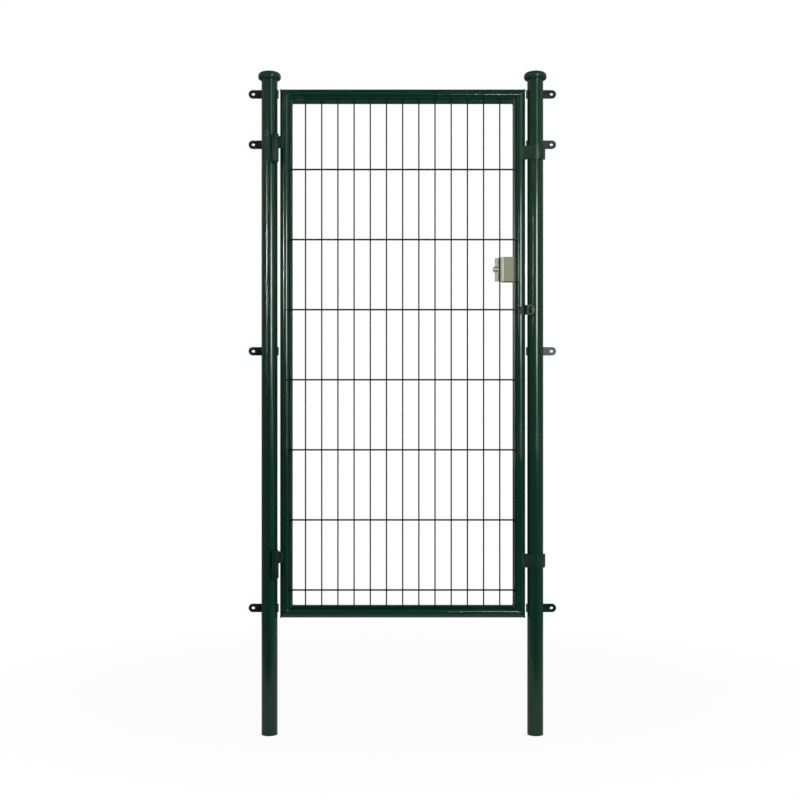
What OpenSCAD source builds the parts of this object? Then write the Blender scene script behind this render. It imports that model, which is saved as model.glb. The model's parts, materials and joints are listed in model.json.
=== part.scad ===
// Single garden gate for a wire fence: two round posts, a tube-framed leaf with a
// welded wire filling, two weld-on barrel hinges, two stop saddles and a box lock.
// Origin: centre of the hinge post's foot.  +X towards the lock post, +Z up.
// The leaf opens towards -Y.

/* [Posts] */
// Outer diameter of the post tube
post_d = 60; // [48:1:76]
// Wall of the post tube
post_wall = 1.5; // [1.5:0.1:4]
// Height of the post tube's end, inside the cap, above the leaf's upper edge
post_over = 54; // [40:1:120]
// Distance between the post centres
post_spacing = 1000; // [800:10:1400]

/* [Post caps] */
// Diameter over the rim of the cap
cap_d = 85; // [80:1:110]
// Radius of the rounded lower edge of the rim
cap_rim_r = 9; // [6:0.5:10]
// Height of the cap from the rim's lower edge to the top of the shoulder
cap_rim_h = 27; // [26:1:40]
// Radius of the shoulder between the rim and the dome
cap_shoulder_r = 13; // [8:1:15]
// Rise of the dome above the shoulder
cap_dome_rise = 5; // [2:0.5:10]
// Angle up the shoulder at which the dome runs into it
cap_meet_angle = 75; // [60:1:80]
// Depth of the groove that takes the end of the post tube
cap_groove = 18; // [8:1:22]
// Length of the plug inside the tube, below the rim
cap_plug = 22; // [10:1:40]
// Wall of the plug
cap_plug_wall = 3; // [2:0.5:6]

/* [Fence tabs] */
// Reach of a tab from the post centre to its tip
tab_reach = 83; // [66:1:110]
// Height of the tab strip
tab_h = 32; // [24:1:40]
// Thickness of the tab strip
tab_t = 4; // [3:0.5:6]
// How far the short end stands past the inner side of the post
tab_tail = 1; // [0:1:8]
// Width of the bolt slot in a tab
tab_slot_w = 9; // [6:0.5:13]
// Length of the bolt slot in a tab
tab_slot_l = 12; // [12:0.5:18]
// Distance of the slot centre from the tip
tab_slot_inset = 18; // [16:1:26]
// Height of the lowest tab above the leaf's lower edge
tab_rise_1 = 31; // [20:1:200]
// Height of the second tab above the leaf's lower edge
tab_rise_2 = 1004; // [400:1:1060]
// Drop of the third tab below the end of the post tube
tab_drop_3 = 254; // [160:1:320]
// Drop of the highest tab below the end of the post tube
tab_drop_4 = 63; // [60:1:100]

/* [Leaf frame] */
// Height of the leaf's lower edge above the foot of the posts
leaf_foot = 439; // [300:1:600]
// Height of the leaf over the frame tubes
leaf_h = 1987; // [1400:1:2000]
// Gap between the hinge post and the leaf
hinge_gap = 10; // [6:1:20]
// Gap between the leaf and the lock post
lock_gap = 8; // [6:1:20]
// Outer diameter of the frame tube
tube_d = 38; // [34:1:45]
// Wall of the frame tube
tube_wall = 1.5; // [1.5:0.1:3]
// Width of the side and bottom flat bars inside the frame, as seen from the front
bar_w = 8.5; // [8:0.5:16]
// Height of the flat bar under the top rail
top_bar_w = 14; // [8:0.5:20]
// Depth of the flat bar, front to back
bar_depth = 20; // [16:1:24]

/* [Wire filling] */
// Diameter of the upright wires
upright_d = 5; // [3:0.5:5]
// Distance between upright wires
upright_pitch = 60.75; // [40:0.05:120]
// Diameter of the cross wires
cross_d = 6; // [4:0.5:6]
// Distance between cross wires
cross_pitch = 262.8; // [150:0.1:400]
// Height of the lowest cross wire above the leaf's lower edge
cross_first = 106; // [70:1:200]
// Depth to which crossing wires are welded into each other
wire_weld = 2; // [0.5:0.1:2]

/* [Hinges] */
// Distance of the pin axis from the hinge post's centre, along the gate
hinge_x = 26; // [16:0.5:28]
// Outer diameter of the hinge barrel
barrel_d = 25; // [22:1:30]
// Height of the knuckle on the leaf
leaf_knuckle_h = 57; // [40:1:80]
// Height of the knuckle on the post
post_knuckle_h = 49; // [40:1:80]
// Thickness of the bearing washer
washer_t = 3; // [2:0.5:5]
// Diameter of the bearing washer
washer_d = 26; // [24:1:32]
// Diameter of the hinge pin
pin_d = 12; // [8:1:14]
// Length of the pin in each knuckle
pin_half = 36; // [20:1:38]
// Chamfer on the closed ends of the barrels
barrel_chamfer = 4; // [1:0.5:6]
// Free space between the barrel and the post
barrel_gap = 5; // [5:0.5:8]
// Thickness of the hinge plate
hinge_plate_t = 6; // [4:0.5:8]
// Height of the hinge plate
hinge_plate_h = 44; // [30:1:56]
// Height of the hinge plate's lower edge above the leaf knuckle's lower edge
hinge_plate_lift = 5; // [1:0.5:8]
// Height of the lower hinge's bearing above the leaf's lower edge
low_hinge_rise = 200; // [120:1:400]
// Drop of the upper hinge's bearing below the leaf's upper edge
top_hinge_drop = 233; // [120:1:400]

/* [Stop saddles] */
// Height of a stop saddle
saddle_h = 52; // [30:1:70]
// Thickness of a stop saddle
saddle_t = 3; // [2:0.5:5]
// Free space between a saddle and the lock post
saddle_gap = 5; // [5:0.5:8]
// Where a saddle ends in front of the lock post's far side, as an angle from the gate's plane
saddle_end_angle = 15; // [0:1:50]
// Radius of the corners at the free end of a saddle
saddle_corner = 10; // [3:0.5:12]
// Where a saddle leaves the lock stile, as an angle from the gate's plane
saddle_root_angle = 60; // [50:1:70]
// Height of the lower saddle's middle above the leaf's lower edge
low_saddle_rise = 217; // [120:1:400]
// Drop of the upper saddle's middle below the leaf's upper edge
top_saddle_drop = 242; // [120:1:400]

/* [Padlock hasp] */
// Drop of the hasp's middle below the leaf's upper edge
hasp_drop = 832; // [800:1:1000]
// Diameter of the hasp's round end
hasp_d = 38; // [34:1:44]
// Height of the hasp's round-ended tail on the stile
hasp_tail_h = 36; // [12:1:40]
// Thickness of the hasp
hasp_t = 4; // [3:0.5:5]
// Free space between the hasp and the lock post
hasp_gap = 5; // [5:0.5:8]
// How far the round end stops short of the lock post's middle
hasp_end = 6; // [0:0.5:6]
// How far the tail reaches past the middle of the lock stile
hasp_tail_reach = 3; // [0:0.5:8]
// Distance of the first bend from the leaf's edge, and of the second from the round end's centre
hasp_bend = 8; // [6:0.5:10]
// Diameter of the staple's rod
staple_d = 7; // [5:0.5:8]
// Height of the staple over its rod
staple_h = 24; // [20:1:26]
// Reach of the staple in front of the hasp
staple_reach = 14; // [11:1:20]
// Free space round the staple in the hasp's slot
staple_clear = 2; // [2:0.5:3]
// Distance of the staple from the centre of the hasp's round end
staple_shift = 3; // [0:0.5:5]

/* [Lock] */
// Drop of the lock case's middle below the leaf's upper edge
lock_drop = 678; // [560:1:710]
// Height of the lock case
lock_h = 92; // [80:1:120]
// Depth of the lock case, front to back
lock_depth = 40; // [32:1:44]
// Width of the lock case from the frame tube's inner side to its bevelled edge
lock_w = 56; // [50:1:62]
// Width of the bevels on the sides of the lock case
lock_bevel = 11; // [6:0.5:12]
// How far the lock case reaches over the round of the frame tube
lock_lap = 4; // [2:0.5:8]
// Height of the lock's inner block
block_h = 87; // [60:1:110]
// Depth of the lock's inner block
block_depth = 14; // [10:1:15]
// Width of the lock's inner block, from the lock case to its free end
block_w = 19; // [16:1:24]
// Diameter of the lock's turn piece
turn_d = 27; // [20:1:30]
// How far the turn piece stands out past the block's free end
turn_overhang = 10; // [6:0.5:11]
// Height of the turn piece's disc above the block
turn_disc_t = 2.4; // [1.5:0.1:2.6]
// Length of the grip across the turn piece
turn_grip_l = 18; // [14:1:24]
// Thickness of the grip across the turn piece
turn_grip_t = 5; // [3:0.5:7]
// Height of the grip above the disc
turn_grip_h = 7; // [4:0.5:10]
// Diameter of the two recesses beside the grip
turn_recess_d = 7; // [5:0.5:8]
// Height of the lock bolt
bolt_h = 32; // [20:1:40]
// Thickness of the lock bolt
bolt_t = 10; // [6:1:14]
// Length of the bolt's tail inside the lock case
bolt_tail = 4; // [2:0.5:8]

/* [Hidden] */

// Clearances and drawing helps
seat = 0.3;          // between a welded piece and the round tube that carries it
pin_fit = 0.05;      // round a hinge pin, on the radius
bolt_fit = 0.5;      // round the lock bolt
cut = 1;             // overshoot of a cutting shape
wire_sides = 8;      // a wire is an eight-sided bar
round_fn = 64;       // fineness of round shapes
arc_steps = 18;      // flats along the arcs of a stop saddle and a cap

green = [0.10, 0.22, 0.18];
zinc = [0.66, 0.68, 0.60];
steel = [0.60, 0.61, 0.62];

post_r = post_d / 2;
tube_r = tube_d / 2;
barrel_r = barrel_d / 2;

// Leaf outline and the centres of its tubes
leaf_left = post_r + hinge_gap;
leaf_right = post_spacing - post_r - lock_gap;
leaf_w = leaf_right - leaf_left;
leaf_top = leaf_foot + leaf_h;
post_length = leaf_top + post_over;  // from the foot to the end inside the cap
tab_z_1 = leaf_foot + tab_rise_1;
tab_z_2 = leaf_foot + tab_rise_2;
tab_z_3 = post_length - tab_drop_3;
tab_z_4 = post_length - tab_drop_4;
hinge_stile_x = leaf_left + tube_r;
lock_stile_x = leaf_right - tube_r;
bottom_rail_z = leaf_foot + tube_r;
top_rail_z = leaf_top - tube_r;
frame_face = tube_d + bar_w;         // width of tube and bar together
opening_left = leaf_left + frame_face;
opening_right = leaf_right - frame_face;
opening_low = leaf_foot + frame_face;
opening_high = leaf_top - tube_d - top_bar_w;
side_bar_low = leaf_foot + tube_d;
side_bar_high = leaf_top - tube_d;

// Wires lie in front of the flat bars
bar_front = -bar_depth / 2;
upright_y = bar_front - upright_d / 2;
cross_y = bar_front - upright_d - cross_d / 2 + wire_weld;
upright_count = floor((opening_right - opening_left) / upright_pitch);
cross_count = floor((opening_high - leaf_foot - cross_first) / cross_pitch) + 1;
opening_mid = (opening_left + opening_right) / 2;

// Pin axis
hinge_y = -sqrt(pow(post_r + barrel_gap + barrel_r, 2) - pow(hinge_x, 2));
low_hinge_z = leaf_foot + low_hinge_rise;
top_hinge_z = leaf_top - top_hinge_drop;

low_saddle_z = leaf_foot + low_saddle_rise;
top_saddle_z = leaf_top - top_saddle_drop;

// Lock: the case sits between the frame tube and the bevelled free edge
lock_z = leaf_top - lock_drop;
lock_seat_x = leaf_right - tube_d + lock_lap;
case_left = leaf_right - tube_d - lock_w;
case_low = lock_z - lock_h / 2;
case_high = lock_z + lock_h / 2;
block_left = case_left - block_w;
turn_x = block_left + turn_d / 2 - turn_overhang;
block_front = -block_depth / 2;

hasp_z = leaf_top - hasp_drop;

// A tube standing on the ground plane, centred on the Z axis
module tube(d, wall, length) {
  difference() {
    cylinder(d = d, h = length, $fn = round_fn);
    translate([0, 0, -cut]) cylinder(d = d - 2 * wall, h = length + 2 * cut, $fn = round_fn);
  }
}

// ---- posts ----

module post(x) {
  translate([x, 0, 0]) tube(post_d, post_wall, post_length);
}

module hinge_post() {
  color(green) post(0);
}

module lock_post() {
  color(green) difference() {
    post(post_spacing);
    // mouth for the lock bolt in the wall that faces the leaf
    translate([post_spacing - post_d, -bolt_t / 2 - bolt_fit, lock_z - bolt_h / 2 - bolt_fit])
      cube([post_d, bolt_t + 2 * bolt_fit, bolt_h + 2 * bolt_fit]);
  }
}

// Points of an arc round a centre, without its first point
function arc_on(centre, r, from, to) = [for (i = [1 : arc_steps]) let (a = from + (to - from) * i / arc_steps)
  centre + r * [cos(a), sin(a)]];

// Half section of a cap: radius to the right, height upwards, zero at the tube's end
module cap_section() {
  groove_r = post_r - post_wall - seat;
  rim_low = -cap_groove;
  rim_mid = [cap_d / 2 - cap_rim_r, rim_low + cap_rim_r];
  shoulder_mid = [cap_d / 2 - cap_shoulder_r, rim_low + cap_rim_h - cap_shoulder_r];
  apex = rim_low + cap_rim_h + cap_dome_rise;
  // the dome's circle goes through its apex and the point where it meets the shoulder
  meet = shoulder_mid + cap_shoulder_r * [cos(cap_meet_angle), sin(cap_meet_angle)];
  drop = apex - meet[1];
  dome_r = (pow(meet[0], 2) + pow(drop, 2)) / (2 * drop);
  difference() {
    union() {
      polygon(concat(
        [[0, rim_low], [rim_mid[0], rim_low]], arc_on(rim_mid, cap_rim_r, -90, 0),
        [shoulder_mid + [cap_shoulder_r, 0]], arc_on(shoulder_mid, cap_shoulder_r, 0, cap_meet_angle),
        arc_on([0, apex - dome_r], dome_r, acos(meet[0] / dome_r), 90)
      ));
      translate([0, rim_low - cap_plug]) square([groove_r, cap_plug + cut]);
    }
    // groove for the tube wall
    translate([groove_r, rim_low - cut]) square([post_wall + 2 * seat, cap_groove + cut + seat]);
    // hollow of the plug
    translate([-cut, rim_low - cap_plug - cut]) square([groove_r - cap_plug_wall + cut, cap_plug + cut]);
  }
}

module post_cap(x) {
  color(green) translate([x, 0, post_length]) rotate_extrude($fn = 2 * round_fn) cap_section();
}

// Flat strip with a round slotted end, welded to the back of a post.
// It reaches towards -X; the lock post's tabs are its mirror image.
module fence_tab(z) {
  strip_y = post_r + seat;
  slot_r = min(tab_slot_w, tab_slot_l) / 2;
  slot_run = [tab_slot_l / 2 - slot_r, tab_slot_w / 2 - slot_r];
  translate([0, 0, z]) difference() {
    union() {
      translate([0, strip_y + tab_t, 0]) rotate([90, 0, 0]) linear_extrude(tab_t) difference() {
        union() {
          translate([-tab_reach + tab_h / 2, 0]) circle(d = tab_h, $fn = round_fn);
          translate([-tab_reach + tab_h / 2, -tab_h / 2])
            square([tab_reach - tab_h / 2 + post_r + tab_tail, tab_h]);
        }
        translate([-tab_reach + tab_slot_inset, 0]) {
          for (side = [-1, 1]) {
            translate(side * slot_run) circle(r = slot_r, $fn = round_fn);
          }
          if (tab_slot_l > tab_slot_w) square([2 * slot_run[0], tab_slot_w], center = true);
          if (tab_slot_w > tab_slot_l) square([tab_slot_l, 2 * slot_run[1]], center = true);
        }
      }
      // weld between strip and tube
      translate([-post_r / 2, post_r / 2, -tab_h / 2]) cube([post_r, post_r / 2 + seat + cut, tab_h]);
    }
    translate([0, 0, -tab_h]) cylinder(r = post_r + seat, h = 2 * tab_h, $fn = round_fn);
  }
}

module hinge_post_tab(z) {
  color(green) fence_tab(z);
}

module lock_post_tab(z) {
  color(green) translate([post_spacing, 0, 0]) mirror([1, 0, 0]) fence_tab(z);
}

// ---- hinges ----

// Barrel with one chamfered closed end and a blind bore for the pin, mouth at z = 0
module barrel(h) {
  difference() {
    rotate_extrude($fn = round_fn) polygon([
      [0, 0], [barrel_r, 0], [barrel_r, h - barrel_chamfer], [barrel_r - barrel_chamfer, h], [0, h]
    ]);
    translate([0, 0, -cut]) cylinder(r = pin_d / 2 + pin_fit, h = pin_half + cut + seat, $fn = round_fn);
  }
}

module leaf_knuckle(z) {
  color(green) translate([hinge_x, hinge_y, z + washer_t]) barrel(leaf_knuckle_h);
}

// The post knuckle hangs below the bearing; a web ties it to the post
module post_knuckle(z) {
  web = barrel_r;
  web_end = barrel_chamfer + cut;  // the web stops short of the barrel's ends
  color(green) translate([0, 0, z]) difference() {
    union() {
      translate([hinge_x, hinge_y, 0]) mirror([0, 0, 1]) barrel(post_knuckle_h);
      difference() {
        rotate([0, 0, atan2(hinge_y, hinge_x)])
          translate([post_r / 2, -web / 2, -post_knuckle_h + web_end])
            cube([norm([hinge_x, hinge_y]) - post_r / 2, web, post_knuckle_h - 2 * web_end]);
        translate([hinge_x, hinge_y, -post_knuckle_h - cut])
          cylinder(r = barrel_r - cut, h = post_knuckle_h + 2 * cut, $fn = round_fn);
      }
    }
    translate([0, 0, -post_knuckle_h - cut])
      cylinder(r = post_r + seat, h = post_knuckle_h + 2 * cut, $fn = round_fn);
  }
}

module hinge_pin(z) {
  color(steel) translate([hinge_x, hinge_y, z - pin_half])
    cylinder(d = pin_d, h = 2 * pin_half + washer_t - cut, $fn = round_fn);
}

module bearing_washer(z) {
  color(steel) translate([hinge_x, hinge_y, z]) difference() {
    cylinder(d = washer_d, h = washer_t, $fn = round_fn);
    translate([0, 0, -cut]) cylinder(r = pin_d / 2 + pin_fit, h = washer_t + 2 * cut, $fn = round_fn);
  }
}

// Plate from the leaf knuckle back to the front of the hinge stile
module hinge_plate(z) {
  run = norm([hinge_stile_x - hinge_x, hinge_y]);
  plate_z = z + washer_t + hinge_plate_lift;
  color(green) difference() {
    translate([hinge_x, hinge_y, plate_z]) rotate([0, 0, atan2(-hinge_y, hinge_stile_x - hinge_x)])
      translate([0, -hinge_plate_t / 2, 0]) cube([run, hinge_plate_t, hinge_plate_h]);
    translate([hinge_x, hinge_y, plate_z - cut])
      cylinder(r = barrel_r + seat, h = hinge_plate_h + 2 * cut, $fn = round_fn);
    translate([hinge_stile_x, 0, plate_z - cut])
      cylinder(r = tube_r + seat, h = hinge_plate_h + 2 * cut, $fn = round_fn);
  }
}

// ---- leaf frame ----

// Frame tube between two mitred ends, from [0, 0] along +X; the mitres open towards +Z
module mitred_tube(length) {
  difference() {
    translate([0, 0, tube_r]) rotate([0, 90, 0]) tube(tube_d, tube_wall, length);
    rotate([90, 0, 0]) translate([0, 0, -tube_d]) linear_extrude(2 * tube_d) {
      polygon([[-cut, -cut], [-cut, tube_d + cut], [tube_d + cut, tube_d + cut]]);
      polygon([[length + cut, -cut], [length + cut, tube_d + cut], [length - tube_d - cut, tube_d + cut]]);
    }
  }
}

module bottom_rail() {
  color(green) translate([leaf_left, 0, leaf_foot]) mitred_tube(leaf_w);
}

module top_rail() {
  color(green) translate([leaf_left, 0, leaf_top]) mirror([0, 0, 1]) mitred_tube(leaf_w);
}

module hinge_stile() {
  color(green) translate([leaf_left, 0, leaf_foot]) mirror([1, 0, 0]) rotate([0, -90, 0]) mitred_tube(leaf_h);
}

module lock_stile() {
  color(green) difference() {
    translate([leaf_right, 0, leaf_foot]) rotate([0, -90, 0]) mitred_tube(leaf_h);
    bolt_way(tube_d);
  }
}

// Passage of the lock bolt through the lock stile
module bolt_way(reach) {
  translate([leaf_right - reach - cut, -bolt_t / 2 - bolt_fit, lock_z - bolt_h / 2 - bolt_fit])
    cube([reach + 2 * cut, bolt_t + 2 * bolt_fit, bolt_h + 2 * bolt_fit]);
}

// Flat bars: the top and bottom ones run between the side bars
module rail_bar(z, height) {
  color(green) translate([opening_left, bar_front, z]) cube([opening_right - opening_left, bar_depth, height]);
}

module side_bar(x, low, high) {
  color(green) translate([x, bar_front, low]) cube([bar_w, bar_depth, high - low]);
}

// ---- wire filling ----

// Eight-sided bar along +Z, flat sides facing the flat bars
module wire(d, length) {
  rotate([0, 0, 180 / wire_sides]) cylinder(d = d / cos(180 / wire_sides), h = length, $fn = wire_sides);
}

module wire_mesh() {
  first_upright = opening_mid - upright_pitch * (upright_count - 1) / 2;
  color(green) difference() {
    union() {
      // upright wires lie on the top and bottom bars and end where the tube begins
      for (i = [0 : upright_count - 1]) {
        translate([first_upright + i * upright_pitch, upright_y, leaf_foot + tube_d])
          wire(upright_d, leaf_h - 2 * tube_d);
      }
      for (i = [0 : cross_count - 1]) {
        translate([hinge_stile_x, cross_y, leaf_foot + cross_first + i * cross_pitch])
          rotate([0, 90, 0]) wire(cross_d, lock_stile_x - hinge_stile_x);
      }
    }
    // cross wires end on the round of the stiles
    for (x = [hinge_stile_x, lock_stile_x]) {
      translate([x, 0, leaf_foot]) cylinder(r = tube_r + seat, h = leaf_h, $fn = round_fn);
    }
  }
}

// ---- stop saddles ----

// Points of an arc round the lock post's centre
function arc(r, from, to) = [for (i = [0 : arc_steps]) let (a = from + (to - from) * i / arc_steps)
  [r * cos(a), r * sin(a)]];

// A point given in a frame that is turned about the lock post's centre
function turned(p, a) = [p[0] * cos(a) - p[1] * sin(a), p[0] * sin(a) + p[1] * cos(a)];

// Curved strap: a flat stretch from the lock stile, then an arc round the front
// of the lock post
module saddle_plan() {
  inner_r = post_r + saddle_gap;
  outer_r = inner_r + saddle_t;
  mid_r = inner_r + saddle_t / 2;
  start = [lock_stile_x - post_spacing, 0] + tube_r * [cos(saddle_root_angle), -sin(saddle_root_angle)];
  leave = atan2(start[1], start[0]) + acos(mid_r / norm(start));
  flat = sqrt(pow(norm(start), 2) - pow(mid_r, 2));
  difference() {
    polygon(concat(
      arc(outer_r, -saddle_end_angle, leave),
      [turned([outer_r, -flat], leave), turned([inner_r, -flat], leave)],
      arc(inner_r, leave, -saddle_end_angle)
    ));
    translate([lock_stile_x - post_spacing, 0]) circle(r = tube_r + seat, $fn = round_fn);
  }
}

module stop_saddle(z) {
  inner_r = post_r + saddle_gap;
  corner_sag = pow(saddle_corner, 2) / inner_r;  // the strap curves in along the length of a corner
  color(green) translate([post_spacing, 0, z]) difference() {
    translate([0, 0, -saddle_h / 2]) linear_extrude(saddle_h) saddle_plan();
    // rounded corners of the free end
    for (side = [0, 1]) {
      mirror([0, 0, side]) rotate([0, 0, -saddle_end_angle])
        translate([inner_r - corner_sag, -saddle_corner, saddle_h / 2 - saddle_corner])
          rotate([90, 0, 90]) linear_extrude(saddle_t + corner_sag + cut) difference() {
            square(saddle_corner + cut);
            circle(r = saddle_corner, $fn = round_fn);
          }
    }
  }
}

// ---- padlock hasp and staple ----

hasp_plane = -(post_r + hasp_gap);                    // back face of the hasp in front of the post
hasp_mid_x = post_spacing - hasp_d / 2 - hasp_end;    // centre of its round end
staple_x = hasp_mid_x + staple_shift;
staple_leg = staple_h / 2 - staple_d / 2;
hasp_tail_x = lock_stile_x - hasp_tail_reach;

module hasp_plan() {
  bend = [leaf_right - hasp_bend, -tube_r - seat];
  bend_end = [hasp_mid_x - hasp_bend, hasp_plane];
  slope = atan2(bend_end[1] - bend[1], bend_end[0] - bend[0]);
  translate([hasp_tail_x, bend[1] - hasp_t]) square([bend[0] - hasp_tail_x, hasp_t]);
  translate(bend) rotate(slope) translate([0, -hasp_t]) square([norm(bend_end - bend), hasp_t]);
  translate([bend_end[0] - cut, hasp_plane - hasp_t]) square([hasp_d, hasp_t]);
  translate(bend - [0, hasp_t / 2]) circle(d = hasp_t, $fn = round_fn);
}

module padlock_hasp() {
  tail_mid_x = hasp_tail_x + hasp_tail_h / 2;
  color(green) translate([0, 0, hasp_z]) intersection() {
    translate([0, 0, -hasp_d / 2]) linear_extrude(hasp_d) hasp_plan();
    rotate([90, 0, 0]) linear_extrude(2 * post_d) difference() {
      union() {
        translate([hasp_mid_x, 0]) circle(d = hasp_d, $fn = round_fn);
        translate([tail_mid_x, 0]) circle(d = hasp_tail_h, $fn = round_fn);
        translate([tail_mid_x, -hasp_tail_h / 2]) square([hasp_mid_x - tail_mid_x, hasp_tail_h]);
      }
      translate([staple_x - staple_d / 2 - staple_clear, -staple_h / 2 - staple_clear])
        square([staple_d + 2 * staple_clear, staple_h + 2 * staple_clear]);
    }
  }
}

// Bent round rod, welded to the front of the lock post
module padlock_staple() {
  tip_y = hasp_plane - hasp_t - staple_reach;
  color(steel) translate([staple_x, 0, hasp_z]) difference() {
    union() {
      for (side = [-1, 1]) {
        translate([0, tip_y + staple_leg, side * staple_leg]) rotate([-90, 0, 0])
          cylinder(d = staple_d, h = -tip_y - staple_leg, $fn = round_fn);
      }
      translate([0, tip_y + staple_leg, 0]) rotate([0, 90, 0]) rotate([0, 0, 180])
        rotate_extrude(angle = 180, $fn = round_fn)
          translate([staple_leg, 0]) circle(d = staple_d, $fn = round_fn);
    }
    translate([post_spacing - staple_x, 0, -post_d])
      cylinder(r = post_r + seat, h = 2 * post_d, $fn = round_fn);
  }
}

// ---- lock ----

// Case with bevelled sides, seated on the round of the lock stile
module lock_case() {
  half = lock_depth / 2;
  inner = half - lock_bevel;
  color(zinc) difference() {
    translate([0, 0, case_low]) linear_extrude(lock_h) polygon([
      [case_left, -inner], [case_left + lock_bevel, -half], [lock_seat_x - lock_bevel, -half],
      [lock_seat_x, -inner], [lock_seat_x, inner], [lock_seat_x - lock_bevel, half],
      [case_left + lock_bevel, half], [case_left, inner]
    ]);
    translate([lock_stile_x, 0, case_low - cut])
      cylinder(r = tube_r + seat, h = lock_h + 2 * cut, $fn = round_fn);
    bolt_way(tube_d + bolt_tail);
  }
}

module lock_block() {
  color(zinc) translate([block_left, block_front, lock_z - block_h / 2])
    cube([block_w, block_depth, block_h]);
}

module lock_turn_piece() {
  disc_front = block_front - turn_disc_t;
  color(steel) translate([turn_x, 0, lock_z]) {
    difference() {
      translate([0, block_front, 0]) rotate([90, 0, 0]) cylinder(d = turn_d, h = turn_disc_t, $fn = round_fn);
      for (side = [-1, 1]) {
        translate([0, disc_front + turn_disc_t / 2, side * (turn_grip_t + turn_recess_d) / 2])
          rotate([90, 0, 0]) cylinder(d = turn_recess_d, h = turn_disc_t, $fn = round_fn);
      }
    }
    translate([-turn_grip_l / 2, disc_front - turn_grip_h, -turn_grip_t / 2])
      cube([turn_grip_l, turn_grip_h, turn_grip_t]);
  }
}

module lock_bolt() {
  color(steel) translate([leaf_right - tube_d - bolt_tail, -bolt_t / 2, lock_z - bolt_h / 2])
    cube([tube_d + bolt_tail, bolt_t, bolt_h]);
}

hinge_post();
lock_post();
post_cap(0);  // hinge_post_cap
post_cap(post_spacing);  // lock_post_cap
hinge_post_tab(tab_z_1);  // hinge_post_tab_1
hinge_post_tab(tab_z_2);  // hinge_post_tab_2
hinge_post_tab(tab_z_3);  // hinge_post_tab_3
hinge_post_tab(tab_z_4);  // hinge_post_tab_4
lock_post_tab(tab_z_1);  // lock_post_tab_1
lock_post_tab(tab_z_2);  // lock_post_tab_2
lock_post_tab(tab_z_3);  // lock_post_tab_3
lock_post_tab(tab_z_4);  // lock_post_tab_4
post_knuckle(low_hinge_z);  // lower_post_knuckle
post_knuckle(top_hinge_z);  // upper_post_knuckle
hinge_pin(low_hinge_z);  // lower_hinge_pin
hinge_pin(top_hinge_z);  // upper_hinge_pin
bearing_washer(low_hinge_z);  // lower_bearing_washer
bearing_washer(top_hinge_z);  // upper_bearing_washer
padlock_staple();
hinge_stile();
lock_stile();
top_rail();
bottom_rail();
side_bar(opening_left - bar_w, side_bar_low, side_bar_high);  // hinge_side_bar
side_bar(opening_right, side_bar_low, case_low);  // lock_side_bar_lower
side_bar(opening_right, case_high, side_bar_high);  // lock_side_bar_upper
rail_bar(opening_high, top_bar_w);  // top_bar
rail_bar(opening_low - bar_w, bar_w);  // bottom_bar
wire_mesh();
leaf_knuckle(low_hinge_z);  // lower_leaf_knuckle
leaf_knuckle(top_hinge_z);  // upper_leaf_knuckle
hinge_plate(low_hinge_z);  // lower_hinge_plate
hinge_plate(top_hinge_z);  // upper_hinge_plate
stop_saddle(low_saddle_z);  // lower_stop_saddle
stop_saddle(top_saddle_z);  // upper_stop_saddle
padlock_hasp();
lock_case();
lock_block();
lock_turn_piece();
lock_bolt();
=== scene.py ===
# Steel garden gate: round posts, mitred tube frame, welded wires, barrel hinges, box lock
import json
import math
import random

import bmesh
import bpy
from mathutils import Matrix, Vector, noise


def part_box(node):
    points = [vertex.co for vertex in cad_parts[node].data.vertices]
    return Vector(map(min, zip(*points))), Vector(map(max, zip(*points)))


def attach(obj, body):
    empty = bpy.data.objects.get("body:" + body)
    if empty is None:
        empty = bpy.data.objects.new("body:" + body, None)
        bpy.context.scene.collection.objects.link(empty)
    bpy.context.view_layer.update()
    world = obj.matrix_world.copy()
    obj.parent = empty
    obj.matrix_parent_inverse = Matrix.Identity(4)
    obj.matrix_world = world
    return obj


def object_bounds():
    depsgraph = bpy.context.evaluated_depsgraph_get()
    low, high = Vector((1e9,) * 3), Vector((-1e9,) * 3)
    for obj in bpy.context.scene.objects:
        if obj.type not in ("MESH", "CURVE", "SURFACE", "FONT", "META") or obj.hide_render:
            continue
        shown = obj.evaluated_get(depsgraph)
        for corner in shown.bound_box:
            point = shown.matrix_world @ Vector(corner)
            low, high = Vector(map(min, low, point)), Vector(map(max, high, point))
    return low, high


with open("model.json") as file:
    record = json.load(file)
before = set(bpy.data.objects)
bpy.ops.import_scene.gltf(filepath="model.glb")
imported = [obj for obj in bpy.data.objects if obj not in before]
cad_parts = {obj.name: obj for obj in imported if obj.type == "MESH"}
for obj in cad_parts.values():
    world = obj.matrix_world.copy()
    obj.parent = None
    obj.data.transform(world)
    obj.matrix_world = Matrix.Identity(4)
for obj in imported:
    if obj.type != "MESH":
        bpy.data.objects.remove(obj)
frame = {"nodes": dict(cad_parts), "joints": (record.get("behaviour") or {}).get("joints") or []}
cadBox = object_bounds()
nodes = frame["nodes"]
pinX, pinY, _ = frame["joints"][0]["pos_m"]
print("frame loaded:", len(nodes), "nodes")

mm = 0.001


# ways to put a material's nodes together

def startMaterial(name):
    mat = bpy.data.materials.new(name)
    mat.use_nodes = True
    tree = mat.node_tree
    tree.nodes.clear()
    shader = tree.nodes.new("ShaderNodeBsdfPrincipled")
    out = tree.nodes.new("ShaderNodeOutputMaterial")
    tree.links.new(shader.outputs[0], out.inputs[0])
    return mat, tree, shader


def feed(tree, socket, value):
    if isinstance(value, bpy.types.NodeSocket):
        tree.links.new(value, socket)
    else:
        socket.default_value = value


def add(tree, kind, inputs=None, **settings):
    made = tree.nodes.new("ShaderNode" + kind)
    for key, value in settings.items():
        setattr(made, key, value)
    for key, value in (inputs or {}).items():
        feed(tree, made.inputs[key], value)
    return made


def calc(tree, operation, a, b=0.0, clamp=False):
    return add(tree, "Math", {0: a, 1: b}, operation=operation, use_clamp=clamp).outputs[0]


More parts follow.
